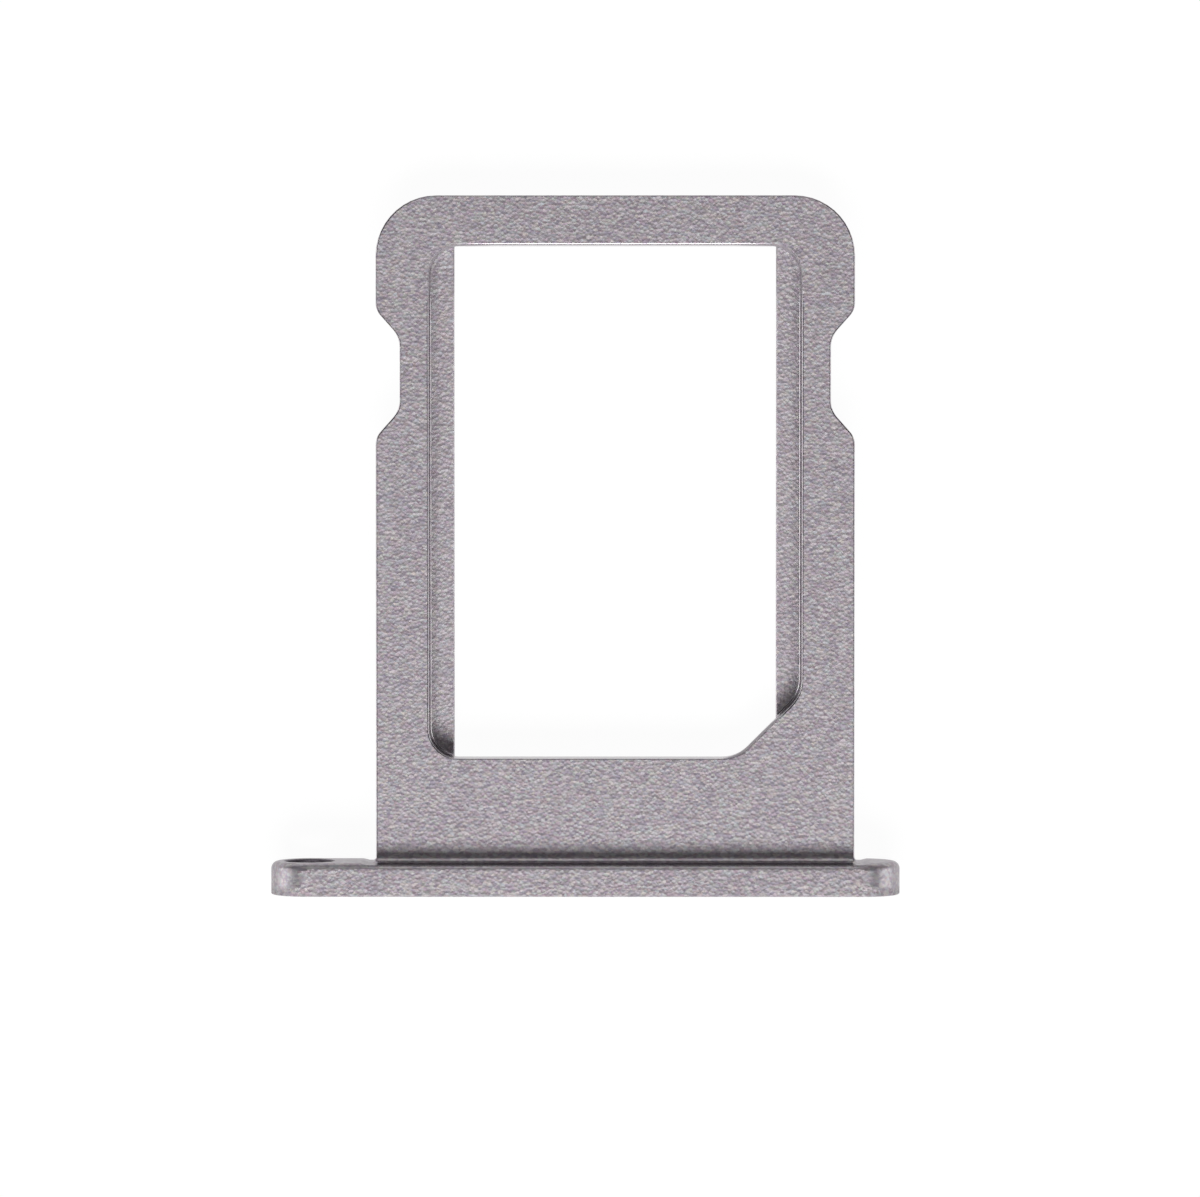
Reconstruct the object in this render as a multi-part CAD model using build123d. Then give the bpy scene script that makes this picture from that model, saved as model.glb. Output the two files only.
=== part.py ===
from build123d import *
import os
from math import sqrt

# A one-piece tray that carries a nano card, in millimetres.
# X runs along the face plate, +Y from the face plate to the tip, +Z up out of the card pocket.
# The origin is the centre of the underside of the tray's own box.

# The card, at its nominal size
card_length = 12.30
card_width = 8.80
card_thickness = 0.67
card_corner_cut = 1.65

# Card pocket: a stepped hole with a ledge along each long side and none at the ends
card_side_clearance = 0.08
card_end_clearance = 0.02
cut_corner_clearance = 0.155
card_sink = 0.03
pocket_corner_radius = 0.72
cut_corner_radius = 0.88
pocket_floor_radius = 0.08
ledge_width = 0.595
ledge_thickness = 0.25

# Body: the flat frame round the pocket
rail_width = 1.27
tip_bar = 1.18
root_bar = 2.48
tip_corner_radius = 1.45

# Side notches, where springs in the device hold the tray
notch_depth = 0.575
notch_mouth = 3.05
notch_floor = 1.75
notch_from_tip = 4.27
notch_mouth_radius = 0.45
notch_floor_radius = 0.60

# Face plate: a bar with round ends that closes the slot in the device
plate_height = 1.84
plate_thickness = 0.80
plate_front_radius = 0.04
plate_back_radius = 0.18

# How the body stands on the face plate: the wings beside it, its rise and the blend at its root
eject_wing = 2.545
plain_wing = 1.105
body_rise = 0.30
root_radius = 0.18
relief_depth = 0.045
relief_land = 0.03
relief_ramp = 0.16

# Eject hole, concentric with one round end of the face plate
eject_hole_diameter = 1.20

# Edge breaks, all of them small: outer edges, rims of the pocket, the window and the eject hole
edge_radius = 0.035
pocket_edge = 0.04
window_edge = 0.025
eject_hole_edge = 0.03

# Sizes that follow from those above
pocket_length = card_length + 2 * card_end_clearance
pocket_width = card_width + 2 * card_side_clearance
pocket_depth = card_thickness + card_sink
pocket_cut = card_corner_cut + card_side_clearance + card_end_clearance - cut_corner_clearance * sqrt(2)
window_width = pocket_width - 2 * ledge_width
body_length = root_bar + pocket_length + tip_bar
body_width = pocket_width + 2 * rail_width
body_thickness = pocket_depth + ledge_thickness
plate_length = eject_wing + body_width + plain_wing
relief_margin = root_radius + relief_land

# Places along X, from the middle of the face plate
body_offset = (eject_wing - plain_wing) / 2
eject_hole_x = -(plate_length - plate_height) / 2

# Levels along Y, from the front of the face plate to the tip
front_y = -(plate_thickness + body_length) / 2
back_y = front_y + plate_thickness
relief_y = back_y - relief_depth
tip_y = back_y + body_length
pocket_root_y = back_y + root_bar
pocket_end_y = pocket_root_y + pocket_length
notch_y = tip_y - notch_from_tip

# Levels along Z, from the plate's lowest line up
body_bottom = body_rise
ledge_top = body_bottom + ledge_thickness
body_top = body_bottom + body_thickness
plate_middle_z = plate_height / 2

# Cutters run past the faces that they open by overrun, and faces within touch are the same face
overrun = 0.50
touch = 1e-6


def upright(x, y):
    """A sketch plane across Y, at the middle of the plate's height, drawn with X to the right."""
    return Plane(origin=(x, y, plate_middle_z), x_dir=(1, 0, 0), z_dir=(0, 1, 0))


def face_plate():
    """The bar with round ends, its edges rounded, with the eject hole through it."""
    plate = extrude(upright(0, front_y) * SlotOverall(plate_length, plate_height), plate_thickness)
    plate = fillet(plate.faces().sort_by(Axis.Y)[0].edges(), plate_front_radius)
    plate = fillet(plate.faces().sort_by(Axis.Y)[-1].edges(), plate_back_radius)

    hole_radius = eject_hole_diameter / 2
    plate -= extrude(upright(eject_hole_x, front_y) * Circle(hole_radius), plate_thickness)
    circles = plate.edges().filter_by(GeomType.CIRCLE)
    rims = [circle for circle in circles if abs(circle.radius - hole_radius) < touch]
    return chamfer(rims, eject_hole_edge)


def root_relief():
    """The shallow cut over the plate's full height that clears its back face beside the body."""
    floor = body_width / 2 + relief_margin
    mouth = floor + relief_ramp
    open_y = back_y + overrun
    outline = Polyline(
        (-floor, relief_y),
        (floor, relief_y),
        (mouth, back_y),
        (mouth, open_y),
        (-mouth, open_y),
        (-mouth, back_y),
        close=True,
    )
    cut = extrude(make_face(outline.edges()), plate_height + 2 * overrun)
    return Pos(body_offset, 0, -overrun) * cut


def body_outline():
    """The body seen from above: straight sides, a notch in each, and a tip with round corners."""
    side = body_width / 2
    notch_x = side - notch_depth
    root_y = back_y - plate_thickness / 2
    right = FilletPolyline(
        (side, root_y),
        (side, notch_y - notch_mouth / 2),
        (notch_x, notch_y - notch_floor / 2),
        (notch_x, notch_y + notch_floor / 2),
        (side, notch_y + notch_mouth / 2),
        (side, tip_y),
        (0, tip_y),
        radius=[
            notch_mouth_radius,
            notch_floor_radius,
            notch_floor_radius,
            notch_mouth_radius,
            tip_corner_radius,
        ],
    )
    left = mirror(right, Plane.YZ)
    root = Line((side, root_y), (-side, root_y))
    return Pos(body_offset, 0, body_bottom) * make_face(right.edges() + left.edges() + root.edges())


def body_blank():
    """The body before its pocket, with its upper and lower edges rounded."""
    blank = extrude(body_outline(), body_thickness)
    levels = blank.faces().sort_by(Axis.Z)
    rims = [rim for rim in levels[0].edges() + levels[-1].edges() if rim.center().Y > back_y]
    return fillet(rims, edge_radius)


def pocket_outline():
    """The card's outline with room round it: three round corners and one cut corner."""
    side = pocket_width / 2
    outline = FilletPolyline(
        (-side, pocket_root_y),
        (side - pocket_cut, pocket_root_y),
        (side, pocket_root_y + pocket_cut),
        (side, pocket_end_y),
        (-side, pocket_end_y),
        radius=[
            pocket_corner_radius,
            cut_corner_radius,
            cut_corner_radius,
            pocket_corner_radius,
            pocket_corner_radius,
        ],
        close=True,
    )
    return Pos(body_offset, 0, 0) * make_face(outline.edges())


def card_recess():
    """The space for the card, down to the ledges, with the cutter's round at its foot."""
    recess = extrude(Pos(0, 0, ledge_top) * pocket_outline(), pocket_depth + overrun)
    return fillet(recess.faces().sort_by(Axis.Z)[0].edges(), pocket_floor_radius)


def card_window():
    """The opening between the ledges, as long as the pocket, with a flare at each of its rims."""
    low = body_bottom - overrun
    high = body_top + overrun
    pocket = pocket_outline()
    middle = Pos(body_offset, (pocket_root_y + pocket_end_y) / 2)
    outline = pocket & middle * Rectangle(window_width, pocket_length)
    straight = extrude(Pos(0, 0, low) * outline, high - low)

    lower_start = Pos(0, 0, body_bottom + window_edge) * outline
    lower_rim = extrude(lower_start, window_edge + overrun, dir=(0, 0, -1), taper=-45)
    ledge_start = Pos(0, 0, ledge_top - window_edge) * outline
    ledge_rim = extrude(ledge_start, 2 * window_edge, dir=(0, 0, 1), taper=-45)
    ledge_rim = ledge_rim & extrude(Pos(0, 0, low) * pocket, high - low)
    return straight + lower_rim + ledge_rim


def pocket_rim(solid):
    """The edges round the pocket on the body's upper face."""
    level = [face for face in solid.faces().filter_by(Axis.Z) if abs(face.center().Z - body_top) < touch]
    return level[0].inner_wires()[0].edges()


def root_edges(solid):
    """The edges where the body's section meets the floor of the root relief."""
    reach = body_width / 2 + relief_margin / 2
    return [
        edge
        for edge in solid.edges()
        if abs(edge.center().Y - relief_y) < touch
        and edge.bounding_box().size.Y < touch
        and abs(edge.center().X - body_offset) < reach
        and body_bottom - touch < edge.center().Z < body_top + touch
    ]


def sim_tray():
    """The whole tray: plate and body in one, blended at the root, then pocketed from above."""
    tray = face_plate() - root_relief() + body_blank()
    tray = fillet(root_edges(tray), root_radius)
    tray = tray - card_recess() - card_window()
    return fillet(pocket_rim(tray), pocket_edge)


os.makedirs("parts", exist_ok=True)
export_step(sim_tray(), "parts/sim_tray.step")
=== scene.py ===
import math

import bpy
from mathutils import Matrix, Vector

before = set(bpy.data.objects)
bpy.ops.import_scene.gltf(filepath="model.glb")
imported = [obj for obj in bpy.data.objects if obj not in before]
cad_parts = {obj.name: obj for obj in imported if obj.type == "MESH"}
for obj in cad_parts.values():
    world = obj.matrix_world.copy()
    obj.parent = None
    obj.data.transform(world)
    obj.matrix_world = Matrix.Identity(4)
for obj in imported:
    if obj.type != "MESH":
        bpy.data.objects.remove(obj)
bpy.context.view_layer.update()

# The tray is drawn in metres; sizes below are in millimetres where their names say so
MM = 0.001

# Camera, fitted to the outline, the notches, the window and the plate's back face
LENS_MM = 150.0
SENSOR_MM = 36.0
CAMERA_AT_MM = (0.702, 1.945, 121.296)
CAMERA_TURN_DEG = (-1.533, 0.166, 0.0)
NEAREST_SEEN_M = 0.005
FARTHEST_SEEN_M = 10.0

# Bead-blasted grey anodised aluminium: its dye, and the beads' craters. The craters of fine beads are narrower;
# they and the dye's speckle are drawn as coarse as the grain that shows at the photograph's size.
METAL_DARK_HEX = "#9A9499"
METAL_LIGHT_HEX = "#B0AAAF"
DARK_UP_TO = 0.20
LIGHT_FROM = 0.80
CRATER_MM = 0.080
CRATER_DEPTH_MM = 0.020
SPECKLE_MM = (0.095, 0.055, 0.055)
SPECKLE_SHARE = 0.06

# The beads strike level faces and the plate's front square on. They graze the walls of the body and its root,
# which stay smoother, and the round ends of the plate are between the two. The nozzle sweeps along Y, so a face
# tipped that way counts as less steep than one tipped to the side.
BLASTED_ROUGHNESS = 0.75
GRAZED_ROUGHNESS = 0.25
ROUND_END_ROUGHNESS = 0.43
GRAZED_CRATERS = 0.12
STEEP_FROM = 0.02
STEEP_TO = 0.08
SWEEP_SHARE = 0.20
FRONT_FROM_MM = -8.15
FRONT_TO_MM = -8.30
BODY_MIDDLE_MM = 0.72
BODY_SIDE_MM = 5.70
WING_FROM_MM = 5.85

# Low in the pocket, in its far corners and along its cut corner the beads rebound, and leave the wall as
# matt as the ledges
LOW_FROM_MM = 0.80
LOW_TO_MM = 0.62
CORNER_AT_MM = (4.20, 6.90, 0.0)
CORNER_FROM_MM = 1.30
CORNER_TO_MM = 0.50
CUT_CORNER_AT_MM = (4.10, -4.70, 1.20)
CUT_CORNER_FROM_MM = 0.95
CUT_CORNER_TO_MM = 0.75

# The ledges and everything as low as them are painted a little paler: painted fill light against the shade of
# the pocket's walls
PAINTED_FILL_HEX = "#D8D2D7"
PAINTED_FILL_SHARE = 0.09

# Inside the eject hole the wall is painted dark: painted shade where little light gets in
HOLE_AT_MM = (-6.655, 0.0, 0.92)
HOLE_FROM_MM = 0.63
HOLE_TO_MM = 0.61
PAINTED_HOLE_SHADE_HEX = "#6A646B"

# Soft lamps: degrees from straight above, bearing in degrees from +X, width and height in mm, brightness
LAMP_AWAY_MM = 400.0
LAMPS = {
    "front_softbox": (37.0, 270.0, 300.0, 160.0, 15.8),
    "left_card": (74.0, 180.0, 300.0, 230.0, 2.50),
    "right_card": (74.0, 0.0, 300.0, 230.0, 2.10),
    "back_card": (50.0, 90.0, 300.0, 290.0, 0.72),
}

# Paper and room. The room's white line fades out between two heights, as shares of straight up.
PAPER_HEX = "#FFFFFF"
PAPER_GLOW = 0.96
TABLE_HALF_M = 1.5
TABLE_DROP_M = 0.00001
HORIZON_LEVEL = 0.5
ROOM_LEVEL = 0.06
HORIZON_FROM = 0.015
HORIZON_TO = 0.07


def linear(hex_colour):
    """An sRGB hex colour as linear red, green, blue and full alpha."""
    parts = [int(hex_colour[i : i + 2], 16) / 255 for i in (1, 3, 5)]
    values = [p / 12.92 if p <= 0.04045 else ((p + 0.055) / 1.055) ** 2.4 for p in parts]
    return (*values, 1.0)


def add_node(tree, kind, settings=None, inputs=None, links=None):
    """Add a node, set its options and its sockets, and link other nodes' outputs to its sockets."""
    node = tree.nodes.new(kind)
    for name, value in (settings or {}).items():
        setattr(node, name, value)
    for name, value in (inputs or {}).items():
        node.inputs[name].default_value = value
    for name, output in (links or {}).items():
        tree.links.new(output, node.inputs[name])
    return node


def new_material(name):
    """An empty node material and its tree."""
    material = bpy.data.materials.new(name)
    material.use_nodes = True
    material.node_tree.nodes.clear()
    return material, material.node_tree


def bead_blasted_aluminium():
    """Anodised aluminium, blasted with fine beads before it is dyed.

    The craters break up its reflection, so it reads as a satin grey with a fine sparkle and no brush marks.
    """
    material, tree = new_material("bead_blasted_anodised_aluminium")
    place = add_node(tree, "ShaderNodeTexCoord").outputs["Object"]
    at = add_node(tree, "ShaderNodeSeparateXYZ", links={0: place}).outputs
    facing = add_node(tree, "ShaderNodeNewGeometry").outputs["Normal"]

    low = add_node(
        tree,
        "ShaderNodeMapRange",
        inputs={"From Min": LOW_FROM_MM * MM, "From Max": LOW_TO_MM * MM},
        links={"Value": at["Z"]},
    ).outputs[0]
    across = add_node(
        tree,
        "ShaderNodeMapRange",
        inputs={"To Min": 1.0, "To Max": SWEEP_SHARE},
        links={"Value": low},
    ).outputs[0]
    counts = add_node(tree, "ShaderNodeCombineXYZ", inputs={"Y": SWEEP_SHARE}, links={"X": across})
    tip = add_node(
        tree,
        "ShaderNodeVectorMath",
        {"operation": "MULTIPLY"},
        links={0: facing, 1: counts.outputs["Vector"]},
    ).outputs["Vector"]
    steep = add_node(tree, "ShaderNodeVectorMath", {"operation": "LENGTH"}, links={0: tip}).outputs["Value"]
    level = add_node(
        tree,
        "ShaderNodeMapRange",
        inputs={"From Min": STEEP_TO, "From Max": STEEP_FROM},
        links={"Value": steep},
    ).outputs[0]
    front = add_node(
        tree,
        "ShaderNodeMapRange",
        inputs={"From Min": FRONT_FROM_MM * MM, "From Max": FRONT_TO_MM * MM},
        links={"Value": at["Y"]},
    ).outputs[0]
    aside = add_node(
        tree,
        "ShaderNodeMath",
        {"operation": "SUBTRACT"},
        {1: BODY_MIDDLE_MM * MM},
        {0: at["X"]},
    ).outputs[0]
    aside = add_node(tree, "ShaderNodeMath", {"operation": "ABSOLUTE"}, links={0: aside}).outputs[0]
    folded = add_node(tree, "ShaderNodeCombineXYZ", links={"X": aside, "Y": at["Y"]}).outputs["Vector"]
    beside = add_node(tree, "ShaderNodeVectorMath", {"operation": "MULTIPLY"}, {1: (1, 0, 1)}, {0: place})
    spots = []
    for where, middle, begins, ends in (
        (folded, CORNER_AT_MM, CORNER_FROM_MM, CORNER_TO_MM),
        (place, CUT_CORNER_AT_MM, CUT_CORNER_FROM_MM, CUT_CORNER_TO_MM),
        (beside.outputs["Vector"], HOLE_AT_MM, HOLE_FROM_MM, HOLE_TO_MM),
    ):
        away = add_node(
            tree,
            "ShaderNodeVectorMath",
            {"operation": "DISTANCE"},
            {1: [c * MM for c in middle]},
            {0: where},
        )
        spot = add_node(
            tree,
            "ShaderNodeMapRange",
            inputs={"From Min": begins * MM, "From Max": ends * MM},
            links={"Value": away.outputs["Value"]},
        )
        spots.append(spot.outputs[0])
    corner, cut_corner, painted_hole_shade = spots

    struck = level
    for also in (front, corner, cut_corner):
        either = {0: struck, 1: also}
        struck = add_node(tree, "ShaderNodeMath", {"operation": "MAXIMUM"}, links=either).outputs[0]

    grazed = add_node(
        tree,
        "ShaderNodeMapRange",
        inputs={
            "From Min": BODY_SIDE_MM * MM,
            "From Max": WING_FROM_MM * MM,
            "To Min": GRAZED_ROUGHNESS,
            "To Max": ROUND_END_ROUGHNESS,
        },
        links={"Value": aside},
    ).outputs[0]
    roughness = add_node(
        tree,
        "ShaderNodeMapRange",
        inputs={"To Max": BLASTED_ROUGHNESS},
        links={"Value": struck, "To Min": grazed},
    ).outputs[0]

    craters = add_node(
        tree,
        "ShaderNodeTexVoronoi",
        {"voronoi_dimensions": "3D", "feature": "F1"},
        {"Scale": 1 / (CRATER_MM * MM), "Randomness": 1.0},
        {"Vector": place},
    ).outputs["Distance"]
    depth = add_node(
        tree,
        "ShaderNodeMapRange",
        inputs={"To Min": GRAZED_CRATERS, "To Max": 1.0},
        links={"Value": struck},
    ).outputs[0]
    bump = add_node(
        tree,
        "ShaderNodeBump",
        inputs={"Distance": CRATER_DEPTH_MM * MM},
        links={"Strength": depth, "Height": craters},
    ).outputs["Normal"]

    cells = add_node(
        tree,
        "ShaderNodeVectorMath",
        {"operation": "DIVIDE"},
        {1: [s * MM for s in SPECKLE_MM]},
        {0: place},
    ).outputs["Vector"]
    speckle = add_node(
        tree,
        "ShaderNodeTexVoronoi",
        {"voronoi_dimensions": "3D", "feature": "F1"},
        {"Scale": 1.0, "Randomness": 1.0},
        {"Vector": cells},
    ).outputs["Color"]
    tint = add_node(tree, "ShaderNodeValToRGB", links={"Fac": speckle})
    shades = ((DARK_UP_TO, METAL_DARK_HEX), (LIGHT_FROM, METAL_LIGHT_HEX))
    for element, (position, shade) in zip(tint.color_ramp.elements, shades):
        element.position = position
        element.color = linear(shade)
    dyed = add_node(
        tree,
        "ShaderNodeMix",
        {"data_type": "RGBA", "blend_type": "OVERLAY"},
        {"Factor": SPECKLE_SHARE},
        {"A": tint.outputs["Color"], "B": speckle},
    ).outputs["Result"]

    # Low down the colour is mixed toward a paler one: painted fill light on the shaded ledges
    low_fill_share = add_node(
        tree,
        "ShaderNodeMath",
        {"operation": "MULTIPLY"},
        {1: PAINTED_FILL_SHARE},
        {0: low},
    ).outputs[0]
    low_filled = add_node(
        tree,
        "ShaderNodeMix",
        {"data_type": "RGBA"},
        {"B": linear(PAINTED_FILL_HEX)},
        {"Factor": low_fill_share, "A": dyed},
    ).outputs["Result"]

    # Inside the eject hole the colour turns dark: painted shade
    colour = add_node(
        tree,
        "ShaderNodeMix",
        {"data_type": "RGBA"},
        {"B": linear(PAINTED_HOLE_SHADE_HEX)},
        {"Factor": painted_hole_shade, "A": low_filled},
    ).outputs["Result"]

    metal = add_node(
        tree,
        "ShaderNodeBsdfPrincipled",
        inputs={"Metallic": 1.0},
        links={"Base Color": colour, "Roughness": roughness, "Normal": bump},
    )
    add_node(tree, "ShaderNodeOutputMaterial", links={"Surface": metal.outputs["BSDF"]})
    return material


def white_paper():
    """A white paper sweep. It shows as plain white to the eye and in the metal, and keeps a faint shadow."""
    material, tree = new_material("white_paper")
    path = add_node(tree, "ShaderNodeLightPath").outputs
    seen = path["Is Camera Ray"]
    for other in ("Is Glossy Ray", "Is Transmission Ray"):
        either = {0: seen, 1: path[other]}
        seen = add_node(tree, "ShaderNodeMath", {"operation": "MAXIMUM"}, links=either).outputs[0]
    share = add_node(tree, "ShaderNodeMath", {"operation": "MULTIPLY"}, {1: PAPER_GLOW}, {0: seen})
    matt = add_node(tree, "ShaderNodeBsdfDiffuse", inputs={"Color": linear(PAPER_HEX)})
    glow = add_node(tree, "ShaderNodeEmission", inputs={"Color": linear(PAPER_HEX), "Strength": 1.0})
    both = add_node(
        tree,
        "ShaderNodeMixShader",
        links={0: share.outputs[0], 1: matt.outputs[0], 2: glow.outputs[0]},
    )
    add_node(tree, "ShaderNodeOutputMaterial", links={"Surface": both.outputs[0]})
    return material


def studio_room():
    """A dim room, with a white line of paper at the horizon."""
    world = bpy.data.worlds.new("studio_room")
    world.use_nodes = True
    tree = world.node_tree
    tree.nodes.clear()
    way = add_node(tree, "ShaderNodeTexCoord").outputs["Generated"]
    height = add_node(tree, "ShaderNodeSeparateXYZ", links={0: way}).outputs["Z"]
    level = add_node(
        tree,
        "ShaderNodeMapRange",
        {"interpolation_type": "SMOOTHSTEP"},
        {"From Min": HORIZON_FROM, "From Max": HORIZON_TO, "To Min": HORIZON_LEVEL, "To Max": ROOM_LEVEL},
        {"Value": height},
    )
    sky = add_node(
        tree,
        "ShaderNodeBackground",
        inputs={"Color": linear(PAPER_HEX)},
        links={"Strength": level.outputs[0]},
    )
    add_node(tree, "ShaderNodeOutputWorld", links={"Surface": sky.outputs[0]})
    bpy.context.scene.world = world


def soft_lamp(name, from_top, bearing, width_mm, height_mm, brightness):
    """A rectangular lamp that looks at the tray, as bright as white paper at a brightness of 1."""
    lamp = bpy.data.lights.new(name, "AREA")
    lamp.shape = "RECTANGLE"
    lamp.size = width_mm * MM
    lamp.size_y = height_mm * MM
    lamp.energy = brightness * math.pi * lamp.size * lamp.size_y
    tilt, turn = math.radians(from_top), math.radians(bearing)
    way = Vector((math.sin(tilt) * math.cos(turn), math.sin(tilt) * math.sin(turn), math.cos(tilt)))
    holder = bpy.data.objects.new(name, lamp)
    holder.location = way * LAMP_AWAY_MM * MM
    holder.rotation_euler = way.to_track_quat("Z", "Y").to_euler()
    bpy.context.scene.collection.objects.link(holder)


def table():
    """The paper that the tray lies on."""
    half = TABLE_HALF_M
    mesh = bpy.data.meshes.new("table")
    corners = [(-half, -half, 0.0), (half, -half, 0.0), (half, half, 0.0), (-half, half, 0.0)]
    mesh.from_pydata(corners, [], [(0, 1, 2, 3)])
    mesh.materials.append(white_paper())
    paper = bpy.data.objects.new("table", mesh)
    paper.location.z = -TABLE_DROP_M
    bpy.context.scene.collection.objects.link(paper)


def camera():
    """The photograph's viewpoint, nearly straight above the tray."""
    data = bpy.data.cameras.new("camera")
    data.lens = LENS_MM
    data.sensor_fit = "HORIZONTAL"
    data.sensor_width = SENSOR_MM
    data.clip_start = NEAREST_SEEN_M
    data.clip_end = FARTHEST_SEEN_M
    holder = bpy.data.objects.new("camera", data)
    holder.location = [c * MM for c in CAMERA_AT_MM]
    holder.rotation_euler = [math.radians(a) for a in CAMERA_TURN_DEG]
    bpy.context.scene.collection.objects.link(holder)
    bpy.context.scene.camera = holder


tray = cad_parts["sim_tray"]
tray.data.materials[0] = bead_blasted_aluminium()
table()
for lamp_name, lamp_size in LAMPS.items():
    soft_lamp(lamp_name, *lamp_size)
studio_room()
camera()
bpy.context.scene.view_settings.view_transform = "Standard"
